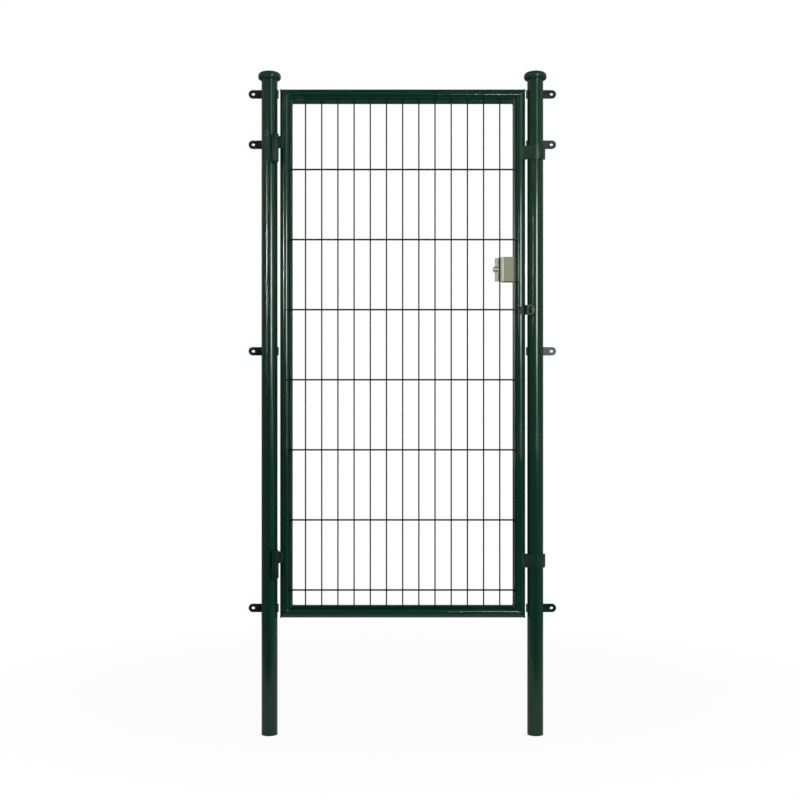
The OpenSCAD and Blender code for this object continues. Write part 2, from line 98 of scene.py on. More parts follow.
def blendColour(tree, share, a, b, **settings):
    return add(tree, "Mix", {0: share, 6: a, 7: b}, data_type="RGBA", **settings).outputs[2]


def spread(tree, value, low, high, newLow, newHigh):
    return add(tree, "MapRange", {0: value, 1: low, 2: high, 3: newLow, 4: newHigh}).outputs[0]


def cloudy(tree, place, scale, detail=3.0, rough=0.5, stretch=None):
    if stretch:
        place = add(tree, "Mapping", {"Vector": place, "Scale": stretch}).outputs[0]
    made = add(tree, "TexNoise", {"Vector": place, "Scale": scale, "Detail": detail, "Roughness": rough})
    return made.outputs[0]


def partPlace(tree):
    return add(tree, "TexCoord").outputs["Object"]


noiseBand = (0.3, 0.7)  # where nearly all of a noise value lies


def playOfRough(tree, shader, value, look):
    # roughness swings round its middle with a noise value
    smoothest, roughest = look["rough"] - look["roughPlay"], look["rough"] + look["roughPlay"]
    rough = spread(tree, value, *noiseBand, smoothest, roughest)
    feed(tree, shader.inputs["Roughness"], rough)
    return rough


def bumpFrom(tree, shader, height):
    # height is in metres
    bump = add(tree, "Bump", {"Strength": 1.0, "Distance": 1.0, "Height": height})
    feed(tree, shader.inputs["Normal"], bump.outputs[0])


# powder coat: cloudy green, fine orange peel, faint handling scuffs and a little dust
def powderCoat(name, look):
    mat, tree, shader = startMaterial(name)
    place = partPlace(tree)
    cloud = cloudy(tree, place, look["cloudScale"], detail=4.0, rough=0.55)
    cloud = spread(tree, cloud, *look["cloudEdges"], 0.0, 1.0)
    colour = blendColour(tree, cloud, look["tone"], look["toneB"])
    dust = cloudy(tree, place, look["dustScale"], detail=6.0, rough=0.7)
    dust = spread(tree, dust, *look["dustEdges"], 0.0, look["dust"])
    colour = blendColour(tree, dust, colour, look["dustTone"])
    scuff = cloudy(tree, place, look["scuffScale"], detail=2.0, rough=0.4, stretch=look["scuffStretch"])
    scuff = spread(tree, scuff, *look["scuffEdges"], 0.0, 1.0)
    colour = blendColour(tree, calc(tree, "MULTIPLY", scuff, look["scuff"]), colour, look["scuffTone"])
    feed(tree, shader.inputs["Base Color"], colour)
    rough = playOfRough(tree, shader, cloudy(tree, place, look["patchScale"], detail=2.0), look)
    rough = calc(tree, "ADD", rough, calc(tree, "MULTIPLY", scuff, look["scuffRough"]), clamp=True)
    feed(tree, shader.inputs["Roughness"], rough)
    shader.inputs["Specular IOR Level"].default_value = look["gloss"]
    peel = cloudy(tree, place, look["peelScale"], detail=2.0, rough=0.45)
    wave = cloudy(tree, place, look["waveScale"], detail=1.0)
    bumpFrom(tree, shader, calc(tree, "ADD", calc(tree, "MULTIPLY", peel, look["peelDepth"]),
                                calc(tree, "MULTIPLY", wave, look["waveDepth"])))
    return mat


coatLook = {
    "tone": (0.0008, 0.0315, 0.0172, 1), "toneB": (0.0016, 0.0355, 0.0202, 1),
    "cloudScale": 5.0, "cloudEdges": (0.35, 0.65),
    "dust": 0.05, "dustTone": (0.10, 0.12, 0.11, 1), "dustScale": 38.0, "dustEdges": (0.62, 0.82),
    "scuff": 0.06, "scuffTone": (0.06, 0.085, 0.075, 1), "scuffRough": 0.12,
    "scuffScale": 26.0, "scuffEdges": (0.66, 0.74), "scuffStretch": (1, 1, 0.12),
    "rough": 0.19, "roughPlay": 0.02, "patchScale": 14.0, "gloss": 0.5,
    "peelScale": 420.0, "peelDepth": 0.000004, "waveScale": 60.0, "waveDepth": 0.000006,
}
postCoat = powderCoat("postCoat", coatLook)
frameCoat = powderCoat("frameCoat", {
    **coatLook, "cloudScale": 7.0, "rough": 0.165, "scuffStretch": (0.4, 1, 0.2)})
# side bars: a lighter, greyer tone as a painted reflection of what their faces mirror
sideBarCoatPaintedSheen = powderCoat("sideBarCoatPaintedSheen", {
    **coatLook, "tone": (0.0240, 0.0470, 0.0360, 1), "toneB": (0.0290, 0.0530, 0.0410, 1), "cloudScale": 7.0,
    "rough": 0.25, "scuffStretch": (0.4, 1, 0.2)})
fittingLook = {
    **coatLook, "rough": 0.23, "roughPlay": 0.04, "peelScale": 520.0, "peelDepth": 0.000008, "gloss": 0.35,
    "tone": (0.0030, 0.0240, 0.0140, 1), "toneB": (0.0070, 0.0330, 0.0215, 1), "cloudScale": 30.0,
    "waveScale": 160.0, "waveDepth": 0.00002, "scuff": 0.15, "scuffScale": 90.0, "scuffStretch": (1, 1, 0.5)}
fittingCoat = powderCoat("fittingCoat", fittingLook)
strapCoat = powderCoat("strapCoat", {
    **fittingLook, "rough": 0.26, "roughPlay": 0.05, "gloss": 0.5, "tone": (0.0040, 0.0300, 0.0180, 1),
    "toneB": (0.0090, 0.0400, 0.0265, 1)})
haspCoat = powderCoat("haspCoat", {
    **coatLook, "tone": (0.0020, 0.0190, 0.0110, 1), "toneB": (0.0080, 0.0400, 0.0260, 1), "cloudScale": 90.0,
    "rough": 0.19, "roughPlay": 0.07, "gloss": 0.34, "waveScale": 240.0, "waveDepth": 0.00012,
    "scuff": 0.25, "scuffScale": 160.0, "scuffStretch": (1, 1, 1)})
wireCoat = powderCoat("wireCoat", {
    **coatLook, "tone": (0.0010, 0.0150, 0.0090, 1), "toneB": (0.0020, 0.0190, 0.0120, 1), "cloudScale": 20.0,
    "rough": 0.24, "gloss": 0.25, "peelScale": 700.0, "scuffScale": 120.0})
weldCoat = powderCoat("weldCoat", {
    **coatLook, "tone": (0.0060, 0.0320, 0.0210, 1), "toneB": (0.0150, 0.0480, 0.0340, 1), "cloudScale": 160.0,
    "rough": 0.30, "roughPlay": 0.08, "waveScale": 260.0, "waveDepth": 0.00008, "dust": 0.2})
print("powder coats made")


# moulded cap plastic: smooth, with a faint satin break-up and fine flow lines
def capPlastic(name, look):
    mat, tree, shader = startMaterial(name)
    place = partPlace(tree)
    cloud = cloudy(tree, place, look["cloudScale"])
    colour = blendColour(tree, cloud, look["tone"], look["toneB"])
    bloom = cloudy(tree, place, look["bloomScale"], detail=5.0, rough=0.65)
    bloom = spread(tree, bloom, *look["bloomEdges"], 0.0, look["bloom"])
    feed(tree, shader.inputs["Base Color"], blendColour(tree, bloom, colour, look["bloomTone"]))
    playOfRough(tree, shader, cloudy(tree, place, look["patchScale"]), look)
    flow = cloudy(tree, place, look["flowScale"], detail=2.0, stretch=look["flowStretch"])
    bumpFrom(tree, shader, calc(tree, "MULTIPLY", flow, look["flowDepth"]))
    return mat


capLook = {
    "tone": (0.0050, 0.0350, 0.0240, 1), "toneB": (0.0080, 0.0430, 0.0300, 1), "cloudScale": 40.0,
    "bloom": 0.12, "bloomTone": (0.05, 0.075, 0.065, 1), "bloomScale": 60.0, "bloomEdges": (0.58, 0.80),
    "rough": 0.15, "roughPlay": 0.03, "patchScale": 70.0,
    "flowScale": 110.0, "flowStretch": (1, 1, 3), "flowDepth": 0.00005,
}
capSkin = capPlastic("capPlastic", capLook)


# zinc plate: warm grey metal with brushed lines, soft crystal patches and a yellow tint
def zincPlate(name, look, paintedLight=None):
    mat, tree, shader = startMaterial(name)
    place = partPlace(tree)
    patch = add(tree, "TexVoronoi", {"Vector": place, "Scale": look["crystalScale"]}, feature="F1")
    crystal = add(tree, "SeparateColor", {0: patch.outputs["Color"]}).outputs[0]
    cloud = cloudy(tree, place, look["cloudScale"], detail=4.0)
    mixed = calc(tree, "ADD", calc(tree, "MULTIPLY", crystal, look["crystalShare"]),
                 calc(tree, "MULTIPLY", cloud, 1 - look["crystalShare"]))
    colour = blendColour(tree, mixed, look["tone"], look["toneB"])
    stain = cloudy(tree, place, look["stainScale"], detail=6.0, rough=0.7)
    stain = spread(tree, stain, *look["stainEdges"], 0.0, look["stain"])
    colour = blendColour(tree, stain, colour, look["stainTone"])
    # an optional ramp of painted light and shade multiplies the colour
    if paintedLight:
        colour = blendColour(tree, 1.0, colour, paintedLight(tree, place), blend_type="MULTIPLY")
    feed(tree, shader.inputs["Base Color"], colour)
    shader.inputs["Metallic"].default_value = look["metal"]
    brush = cloudy(tree, place, look["brushScale"], rough=0.6, stretch=look["brushStretch"])
    playOfRough(tree, shader, calc(tree, "MULTIPLY", calc(tree, "ADD", brush, cloud), 0.5), look)
    bumpFrom(tree, shader, calc(tree, "MULTIPLY", brush, look["brushDepth"]))
    return mat


zincLook = {
    "tone": (0.33, 0.345, 0.250, 1), "toneB": (0.43, 0.445, 0.335, 1), "metal": 0.35,
    "cloudScale": 45.0, "crystalScale": 160.0, "crystalShare": 0.35,
    "stain": 0.35, "stainTone": (0.17, 0.17, 0.12, 1), "stainScale": 55.0, "stainEdges": (0.6, 0.8),
    "rough": 0.46, "roughPlay": 0.08,
    "brushScale": 300.0, "brushStretch": (1, 1, 0.06), "brushDepth": 0.00002,
}


def toneRamp(tree, value, stops):
    ramp = add(tree, "ValToRGB", {0: value})
    marks = ramp.color_ramp.elements
    while len(marks) < len(stops):
        marks.new(1.0)
    for mark, (place, tone) in zip(marks, stops):
        mark.position = place
        mark.color = (*tone, 1)
    return ramp.outputs[0]


# painted light and shade on the case: the left bevel painted lit, the front darker towards its right, the bevel
# by the stile painted shaded
caseLightAndShade = {"litBevel": (1.05, 1.06, 1.0), "front": (0.220, 0.2455, 0.166), "low": (0.215, 0.225, 0.170),
            "shadedBevel": (0.130, 0.145, 0.105), "leftEdge": 0.19, "rightEdge": 0.83, "blend": 0.02}


# a ramp across the case that paints its left bevel lit and its right bevel shaded
def paintedCaseLight(tree, place):
    low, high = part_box("lock_case")
    axes = add(tree, "SeparateXYZ", {0: place})
    across = spread(tree, axes.outputs[0], low.x, high.x, 0.0, 1.0)
    w = caseLightAndShade
    return toneRamp(tree, across, ((0.0, w["litBevel"]), (w["leftEdge"], w["litBevel"]),
                                   (w["leftEdge"] + w["blend"], w["front"]), (w["rightEdge"], w["low"]),
                                   (w["rightEdge"] + w["blend"], w["shadedBevel"]), (1.0, w["shadedBevel"])))


# painted light and shade on the turn piece: the grip painted lit across a disc painted as the shade of its
# recess, with a mid-toned rim
turnLightAndShade = {"grip": (1.0, 1.0, 0.96), "disc": (0.10, 0.10, 0.08), "rim": (0.45, 0.46, 0.42),
            "gripHalf": 2.6 * mm, "rimR": 8.0 * mm, "blend": 1.2 * mm}


# a mask by position that paints the grip lit and the disc round it shaded
def paintedTurnLight(tree, place):
    low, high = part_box("lock_turn_piece")
    middle = (low + high) / 2
    axes = add(tree, "SeparateXYZ", {0: place})
    across = calc(tree, "SUBTRACT", axes.outputs[0], middle.x)
    up = calc(tree, "ABSOLUTE", calc(tree, "SUBTRACT", axes.outputs[2], middle.z))
    radius = calc(tree, "SQRT", calc(tree, "ADD", calc(tree, "MULTIPLY", across, across),
                                     calc(tree, "MULTIPLY", up, up)))
    w = turnLightAndShade
    rim = spread(tree, radius, w["rimR"], w["rimR"] + w["blend"], 0.0, 1.0)
    grip = spread(tree, up, w["gripHalf"], w["gripHalf"] + w["blend"], 1.0, 0.0)
    disc = blendColour(tree, rim, (*w["disc"], 1), (*w["rim"], 1))
    return blendColour(tree, grip, disc, (*w["grip"], 1))


# the case's colour is multiplied by its ramp of painted light and shade
zincCasePaintedLight = zincPlate("zincCasePaintedLight", {
    **zincLook, "tone": (0.76, 0.78, 0.66, 1), "toneB": (0.92, 0.94, 0.82, 1), "metal": 0.15}, paintedCaseLight)
zincTrim = zincPlate("zincTrim", {**zincLook, "tone": (0.20, 0.21, 0.16, 1), "toneB": (0.27, 0.28, 0.22, 1)})
zincBlock = zincPlate("zincBlock", {
    **zincLook, "tone": (0.28, 0.295, 0.235, 1), "toneB": (0.36, 0.375, 0.30, 1), "brushStretch": (0.06, 1, 1)})
steelLook = {
    **zincLook, "tone": (0.42, 0.43, 0.42, 1), "toneB": (0.56, 0.57, 0.55, 1), "metal": 0.9, "rough": 0.32,
    "stain": 0.5, "stainTone": (0.10, 0.10, 0.09, 1), "stainScale": 120.0, "brushScale": 420.0,
    "brushStretch": (1, 1, 0.2),
}
brightSteel = zincPlate("brightSteel", steelLook)
turnSteelPaintedLight = zincPlate("turnSteelPaintedLight", {
    **steelLook, "tone": (0.42, 0.43, 0.38, 1), "toneB": (0.60, 0.61, 0.56, 1), "metal": 0.4, "rough": 0.42},
    paintedTurnLight)
print("plastic, zinc and steel made")


# each node's finish, by the first of these words in its name, and how far its edges are softened
softEdge = {"segments": 2, "angle": 40}
finishes = (
    ("_cap", capSkin, 0.0), ("_tab_", fittingCoat, 0.5 * mm), ("knuckle", fittingCoat, 0.4 * mm),
    ("hinge_plate", fittingCoat, 0.4 * mm), ("washer", fittingCoat, 0.4 * mm), ("pin", brightSteel, 0.0),
    ("saddle", strapCoat, 0.5 * mm), ("hasp", haspCoat, 0.6 * mm), ("staple", haspCoat, 0.0),
    ("case", zincCasePaintedLight, 0.8 * mm), ("block", zincBlock, 0.6 * mm), ("turn", turnSteelPaintedLight, 0.3 * mm),
    ("bolt", brightSteel, 0.5 * mm), ("wire", wireCoat, 0.0), ("side_bar", sideBarCoatPaintedSheen, 0.8 * mm),
    ("bar", frameCoat, 0.8 * mm), ("post", postCoat, 0.0), ("", frameCoat, 0.0),
)


def dress(piece, mat, edge):
    piece.data.materials.clear()
    piece.data.materials.append(mat)
    if edge:
        bevel = piece.modifiers.new("softEdge", "BEVEL")
        bevel.width = edge
        bevel.segments = softEdge["segments"]
        bevel.limit_method = "ANGLE"
        bevel.angle_limit = math.radians(softEdge["angle"])


for name, piece in nodes.items():
    dress(piece, *next((mat, edge) for word, mat, edge in finishes if word in name))
print("nodes dressed")


# weld beads and spots, gathered in one mesh for each place
beadShape = {"sides": 10, "stepsPerRipple": 4, "ripplePlay": 0.14, "drift": 0.6, "driftPace": 0.1,
             "fatPlay": 0.10, "fatPace": 0.13, "seedPace": 3.7, "sway": 6,
             "endShare": 0.45, "endSteps": 5, "lean": 0.35}
blobShape = {"detail": 2, "wobble": 0.14, "wobblePace": 1.7, "seedPace": (1.9, 0.7, 1)}


def band(shape, low, high):
    # faces between two rings of the same count
    for k in range(len(low)):
        n = (k + 1) % len(low)
        shape.faces.new((low[k], low[n], high[n], high[k]))


def evenSteps(path, step, closed):
    # the path cut into short steps, each with its way out of the joint
    points = []
    corners = path + path[:1] if closed else path
    for (a, aOut), (b, bOut) in zip(corners, corners[1:]):
        count = max(1, round((b - a).length / step))
        points += [(a.lerp(b, i / count), aOut.lerp(bOut, i / count).normalized()) for i in range(count)]
    if not closed:
        points.append((path[-1][0], path[-1][1].normalized()))
    return points


def bead(shape, path, look, seed, closed=False):
    how = beadShape
    points = evenSteps(path, look["ripple"] / how["stepsPerRipple"], closed)
    last = len(points) - 1
    sway = random.Random(seed).uniform(0, how["sway"])
    rings = []
    for i, (point, out) in enumerate(points):
        ahead = points[(i + 1) % len(points)][0] if closed or i < last else point
        behind = points[i - 1][0] if closed or i > 0 else point
        along = (ahead - behind).normalized()
        across = along.cross(out).normalized()
        drift = how["drift"] * noise.noise(Vector((seed, i * how["driftPace"], 0)))
        ripple = 0.5 + 0.5 * math.sin(2 * math.pi * i / how["stepsPerRipple"] + drift)
        fat = 1 + how["fatPlay"] * noise.noise(Vector((i * how["fatPace"], seed * how["seedPace"], sway)))
        end = 1.0 if closed else min(1.0, how["endShare"] + min(i, last - i) / how["endSteps"])
        half = look["width"] / 2 * fat * end
        high = look["height"] * fat * end * (1 - how["ripplePlay"] + how["ripplePlay"] * ripple)
        ring = []
        for k in range(how["sides"]):
            turn = 2 * math.pi * k / how["sides"]
            lift = math.sin(turn)
            spot = point + across * half * math.cos(turn) + out * (lift * (high if lift > 0 else look["sink"]))
            spot += along * look["ripple"] * how["lean"] * max(0.0, lift)
            ring.append(shape.verts.new(spot))
        rings.append(ring)
    for low, high in zip(rings, rings[1:]):
        band(shape, low, high)
    if closed:
        band(shape, rings[-1], rings[0])
    else:
        shape.faces.new(rings[0][::-1])
        shape.faces.new(rings[-1])


def uprightBead(shape, foot, out, low, high, look, seed):
    bead(shape, [(foot + Vector((0, 0, z)), out) for z in (low, high)], look, seed)


def facing(out):
    # the ways out of a face, level along it and up it
    out = out.normalized()
    level = Vector((0, 0, 1)).cross(out).normalized()
    return out, level, out.cross(level)


def blob(shape, centre, out, radius, height, seed, stretch=1.0):
    out, level, up = facing(out)
    shift = Vector([seed * pace for pace in blobShape["seedPace"]])
    for v in bmesh.ops.create_icosphere(shape, subdivisions=blobShape["detail"], radius=1.0)["verts"]:
        wobble = 1 + blobShape["wobble"] * noise.noise(v.co * blobShape["wobblePace"] + shift)
        x, y, z = v.co * wobble
        v.co = centre + level * x * radius + up * y * radius * stretch + out * z * height


def finishPiece(shape, name, body, mat):
    bmesh.ops.recalc_face_normals(shape, faces=shape.faces[:])
    mesh = bpy.data.meshes.new(name)
    shape.to_mesh(mesh)
    shape.free()
    mesh.shade_smooth()
    mesh.materials.append(mat)
    piece = bpy.data.objects.new(name, mesh)
    bpy.context.scene.collection.objects.link(piece)
    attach(piece, body)


def span(name):
    low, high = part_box(name)
    return low, high, (low + high) / 2


def radiusOf(name):
    low, high, _ = span(name)
    return (high.x - low.x) / 2


def roundReach(radius, aside):
    # how far a round bar reaches, this far aside of its middle
    return math.sqrt(radius ** 2 - aside ** 2)


def groups(values, gap):
    # middles of the clusters that lie more than a gap apart
    values = sorted(values)
    found = [[values[0]]]
    for v in values[1:]:
        if v - found[-1][-1] > gap:
            found.append([])
        found[-1].append(v)
    return [(g[0] + g[-1]) / 2 for g in found]


# mitre seams of the frame tubes, dressed almost flush
mitreWeld = {"width": 4.6 * mm, "height": 0.7 * mm, "sink": 0.8 * mm, "ripple": 2.6 * mm, "steps": 56}
stileLow, stileHigh, stileMid = span("hinge_stile")
_, _, lockMid = span("lock_stile")
tubeR = radiusOf("hinge_stile")
railTop = stileHigh.z - tubeR
railLow = stileLow.z + tubeR
shape = bmesh.new()
for n, (cx, side) in enumerate(((stileMid.x, -1), (lockMid.x, 1))):
    for m, (cz, up) in enumerate(((railTop, 1), (railLow, -1))):
        path = []
        for i in range(mitreWeld["steps"]):
            a = 2 * math.pi * i / mitreWeld["steps"]
            c, s = math.cos(a), math.sin(a)
            out = Vector((side * c, 2 * s, up * c)).normalized()  # halfway between the two tubes' own
            path.append((Vector((cx + side * tubeR * c, tubeR * s, cz + up * tubeR * c)), out))
        bead(shape, path, mitreWeld, 11 + n * 2 + m, True)
finishPiece(shape, "mitreWelds", "leaf", frameCoat)

# inner corners of the flat bars, and stitches along their back edge
cornerWeld = {"width": 6.5 * mm, "height": 2.4 * mm, "sink": 2.0 * mm, "ripple": 2.4 * mm, "past": 0.4 * mm}
stitchWeld = {"width": 6.0 * mm, "height": 2.0 * mm, "sink": 2.5 * mm, "ripple": 2.2 * mm,
              "length": 28 * mm, "pitch": 290 * mm, "first": 70 * mm, "lean": 0.25}
_, sideHigh, _ = span("hinge_side_bar")
lockBarLow, lockBarHigh, _ = span("lock_side_bar_lower")
topLow, topHigh, _ = span("top_bar")
lowLow, lowHigh, _ = span("bottom_bar")
barHalf = sideHigh.y
shape = bmesh.new()
for n, (x, sx) in enumerate(((sideHigh.x, 1), (lockBarLow.x, -1))):
    for m, (z, sz) in enumerate(((topLow.z, -1), (lowHigh.z, 1))):
        out = Vector((sx, 0, sz)).normalized()
        path = [(Vector((x, way * (barHalf + cornerWeld["past"]), z)), out) for way in (-1, 1)]
        bead(shape, path, cornerWeld, 31 + n * 2 + m)


def stitch(shape, start, way, length, inward, seed):
    # the V between the round tube and the back edge of a bar
    run = length - 2 * stitchWeld["first"]
    count = int(run / stitchWeld["pitch"]) + 1
    gap = run / max(1, count - 1)
    half = way * stitchWeld["length"] / 2
    out = (Vector((0, 1, 0)) + inward * stitchWeld["lean"]).normalized()
    for i in range(count):
        middle = start + way * (stitchWeld["first"] + i * gap)
        bead(shape, [(middle - half, out), (middle + half, out)], stitchWeld, seed + i)


inset = (tubeR + roundReach(tubeR, barHalf)) / 2
tall = stileHigh.z - stileLow.z - 4 * tubeR
wide = lockMid.x - stileMid.x - 2 * tubeR
xWay, zWay = Vector((1, 0, 0)), Vector((0, 0, 1))
for x, inward, seed in ((stileMid.x + inset, xWay, 50), (lockMid.x - inset, -xWay, 70)):
    stitch(shape, Vector((x, barHalf, stileLow.z + 2 * tubeR)), zWay, tall, inward, seed)
for z, inward, seed in ((railTop - inset, -zWay, 90), (railLow + inset, zWay, 110)):
    stitch(shape, Vector((stileHigh.x, barHalf, z)), xWay, wide, inward, seed)
finishPiece(shape, "barWelds", "leaf", weldCoat)
print("frame welds made")

# wires: fused nuggets where they cross and a spot at every end
wirePick = {"apart": 8 * mm, "foot": 0.1 * mm, "edge": 12 * mm, "beside": 4 * mm}
wireWeld = {"nugget": 3.6 * mm, "nuggetDeep": 1.9 * mm, "nuggetBack": 0.5 * mm,
            "spot": 2.88 * mm, "spotHigh": 2.0 * mm, "spotLong": 1.3, "spotLean": 0.35,
            "spotAside": 1.7 * mm, "spotBack": 1.2 * mm, "spotIn": 1.0 * mm,
            "sideSpot": 3.36 * mm, "sideHigh": 1.8 * mm, "sideApart": 1.8 * mm, "sideOut": 0.2 * mm,
            "sideDepth": 0.32}
wireLow, wireHigh, _ = span("wire_mesh")
wirePoints = [v.co for v in nodes["wire_mesh"].data.vertices]
footPoints = [p for p in wirePoints if p.z < wireLow.z + wirePick["foot"]]
uprights = groups([p.x for p in footPoints], wirePick["apart"])
crosses = groups([p.z for p in wirePoints if p.x < wireLow.x + wirePick["edge"]], wirePick["apart"])
uprightR = max(p.x for p in footPoints if abs(p.x - uprights[0]) < wirePick["beside"]) - uprights[0]
uprightY = max(p.y for p in wirePoints) - uprightR
contactY = uprightY - uprightR  # the uprights stand behind the crossing wires
shape = bmesh.new()
for i, x in enumerate(uprights):
    for k, z in enumerate(crosses):
        blob(shape, Vector((x, contactY + wireWeld["nuggetBack"], z)), Vector((0, -1, 0)),
             wireWeld["nugget"], wireWeld["nuggetDeep"], i * 7 + k)
finishPiece(shape, "wireCrossings", "leaf", wireCoat)
shape = bmesh.new()
for i, x in enumerate(uprights):
    for k, (z, way) in enumerate((((topLow.z + topHigh.z) / 2, 1), ((lowLow.z + lowHigh.z) / 2, -1))):
        for side in (-1, 1):
            centre = Vector((x + side * wireWeld["spotAside"], uprightY + wireWeld["spotBack"],
                             z + way * wireWeld["spotIn"]))
            blob(shape, centre, Vector((side * wireWeld["spotLean"], -1, 0)), wireWeld["spot"],
                 wireWeld["spotHigh"], 200 + i * 4 + k * 2 + side, wireWeld["spotLong"])
crossY = wireLow.y + (wireHigh.y - wireLow.y) * wireWeld["sideDepth"]
stileReach = roundReach(tubeR, crossY)
for k, z in enumerate(crosses):
    for cx, side in ((stileMid.x, 1), (lockMid.x, -1)):
        out = Vector((side * stileReach, crossY, 0)).normalized()
        for up in (-1, 1):
            centre = Vector((cx, 0, z + up * wireWeld["sideApart"])) + out * (tubeR + wireWeld["sideOut"])
            blob(shape, centre, out, wireWeld["sideSpot"], wireWeld["sideHigh"], 400 + k * 4 + side + up)
finishPiece(shape, "wireEndWelds", "leaf", weldCoat)
print("wire welds made:", len(uprights), "by", len(crosses))

# fence tabs: a bead above and below each tab, across the back of the post
tabWeld = {"width": 5.0 * mm, "height": 2.2 * mm, "sink": 2.0 * mm, "ripple": 2.4 * mm,
           "half": 15 * mm, "steps": 8, "proud": 0.6 * mm, "lean": 0.55, "tabs": 4}
for postName, label in (("hinge_post", "hingePostTabWelds"), ("lock_post", "lockPostTabWelds")):
    _, _, postMid = span(postName)
    postR = radiusOf(postName)
    shape = bmesh.new()
    for i in range(1, tabWeld["tabs"] + 1):
        tabLow, tabHigh, _ = span(f"{postName}_tab_{i}")
        for z, up in ((tabHigh.z, 1), (tabLow.z, -1)):
            out = Vector((0, tabWeld["lean"], up)).normalized()
            path = []
            for s in range(tabWeld["steps"] + 1):
                x = tabWeld["half"] * (2 * s / tabWeld["steps"] - 1)
                path.append((Vector((postMid.x + x, roundReach(postR, x) + tabWeld["proud"], z)), out))
            bead(shape, path, tabWeld, 500 + i * 2 + up)
    finishPiece(shape, label, "posts", weldCoat)
print("tab welds made")

# hinges: fillets beside the web on the post, and both sides of the leaf's plate
hingeWeld = {"width": 5.5 * mm, "height": 2.2 * mm, "sink": 2.4 * mm, "ripple": 2.3 * mm,
             "webHalf": 6.5 * mm, "webFoot": 5 * mm, "webHead": 6 * mm, "proud": 0.2 * mm,
             "plateHalf": 3 * mm, "plateInset": 1.5 * mm}
postR = radiusOf("hinge_post")
webTurn = math.atan2(pinY, pinX)
webSwing = math.asin(hingeWeld["webHalf"] / postR)
webAside = Vector((-math.sin(webTurn), math.cos(webTurn), 0))
pin = Vector((pinX, pinY, 0))
stile = Vector((stileMid.x, 0, 0))
plateWay = (stile - pin).normalized()
plateFace = Vector((plateWay.y, -plateWay.x, 0))
barrelR = radiusOf("lower_leaf_knuckle")
for level in ("lower", "upper"):
    knuckleLow, knuckleHigh, _ = span(level + "_post_knuckle")
    shape = bmesh.new()
    for side in (-1, 1):
        a = webTurn + side * webSwing
        foot = Vector((math.cos(a), math.sin(a), 0)) * (postR + hingeWeld["proud"])
        out = (foot.normalized() + webAside * side).normalized()
        uprightBead(shape, foot, out, knuckleLow.z + hingeWeld["webFoot"], knuckleHigh.z - hingeWeld["webHead"],
                    hingeWeld, 600 + side)
    finishPiece(shape, level + "KnuckleWelds", "posts", weldCoat)
    plateLow, plateHigh, _ = span(level + "_hinge_plate")
    shape = bmesh.new()
    for side in (-1, 1):
        for centre, radius, sign in ((pin, barrelR, 1), (stile, tubeR, -1)):
            away = plateWay * sign * roundReach(radius, hingeWeld["plateHalf"])
            foot = centre + away + plateFace * side * hingeWeld["plateHalf"]
            out = (plateFace * side + plateWay * sign).normalized()
            uprightBead(shape, foot, out, plateLow.z + hingeWeld["plateInset"],
                        plateHigh.z - hingeWeld["plateInset"], hingeWeld, 620 + side + sign * 3)
    finishPiece(shape, level + "PlateWelds", "leaf", weldCoat)
print("hinge welds made")

# stop saddles: both sides of the root on the lock stile, each at its turn in degrees and with its way out
saddleWeld = {"width": 5.0 * mm, "height": 2.0 * mm, "sink": 2.4 * mm, "ripple": 2.3 * mm, "inset": 1.5 * mm,
              "sides": ((-62.5, (0.05, -1, 0)), (-52.0, (1, -0.1, 0)))}
shape = bmesh.new()
for level in ("lower", "upper"):
    saddleLow, saddleHigh, _ = span(level + "_stop_saddle")
    for turn, out in saddleWeld["sides"]:
        a = math.radians(turn)
        foot = Vector((lockMid.x + tubeR * math.cos(a), tubeR * math.sin(a), 0))
        uprightBead(shape, foot, Vector(out), saddleLow.z + saddleWeld["inset"],
                    saddleHigh.z - saddleWeld["inset"], saddleWeld, 640 + int(turn))
finishPiece(shape, "saddleWelds", "leaf", weldCoat)

# padlock hasp and staple: a bead follows the hasp's round tail on the lock stile, one rings each leg
haspWeld = {"width": 4.6 * mm, "height": 1.8 * mm, "sink": 2.0 * mm, "ripple": 2.2 * mm,
            "from": 104, "to": 256, "steps": 14, "tail": 13 * mm, "proud": 0.4 * mm, "lean": 0.7}
haspLow, _, haspMid = span("padlock_hasp")
haspPoints = [v.co for v in nodes["padlock_hasp"].data.vertices]
tailR = max(p.z for p in haspPoints if p.x < lockMid.x + haspWeld["tail"]) - haspMid.z
shape = bmesh.new()
path = []
for i in range(haspWeld["steps"] + 1):
    a = math.radians(haspWeld["from"] + (haspWeld["to"] - haspWeld["from"]) * i / haspWeld["steps"])
    x = haspLow.x + tailR + tailR * math.cos(a)
    y = -roundReach(tubeR, x - lockMid.x) - haspWeld["proud"]
    out = Vector((math.cos(a), -haspWeld["lean"], math.sin(a)))
    path.append((Vector((x, y, haspMid.z + tailR * math.sin(a))), out))
bead(shape, path, haspWeld, 660)
finishPiece(shape, "haspWelds", "leaf", weldCoat)

stapleWeld = {"width": 4.0 * mm, "height": 1.8 * mm, "sink": 2.0 * mm, "ripple": 2.0 * mm,
              "steps": 16, "proud": 0.4 * mm}
stapleLow, stapleHigh, stapleMid = span("padlock_staple")
_, _, lockPostMid = span("lock_post")
lockPostR = radiusOf("lock_post")
rodR = radiusOf("padlock_staple")
ringR = rodR + stapleWeld["proud"]
shape = bmesh.new()
for up in (-1, 1):
    legZ = stapleMid.z + up * ((stapleHigh.z - stapleLow.z) / 2 - rodR)
    path = []
    for i in range(stapleWeld["steps"]):
        a = 2 * math.pi * i / stapleWeld["steps"]
        x = stapleMid.x + ringR * math.cos(a)
        y = -roundReach(lockPostR, x - lockPostMid.x)
        out = Vector((math.cos(a), -1, math.sin(a))).normalized()
        path.append((Vector((x, y, legZ + ringR * math.sin(a))), out))
    bead(shape, path, stapleWeld, 680 + up, True)
finishPiece(shape, "stapleWelds", "posts", weldCoat)
print("saddle, hasp and staple welds made")
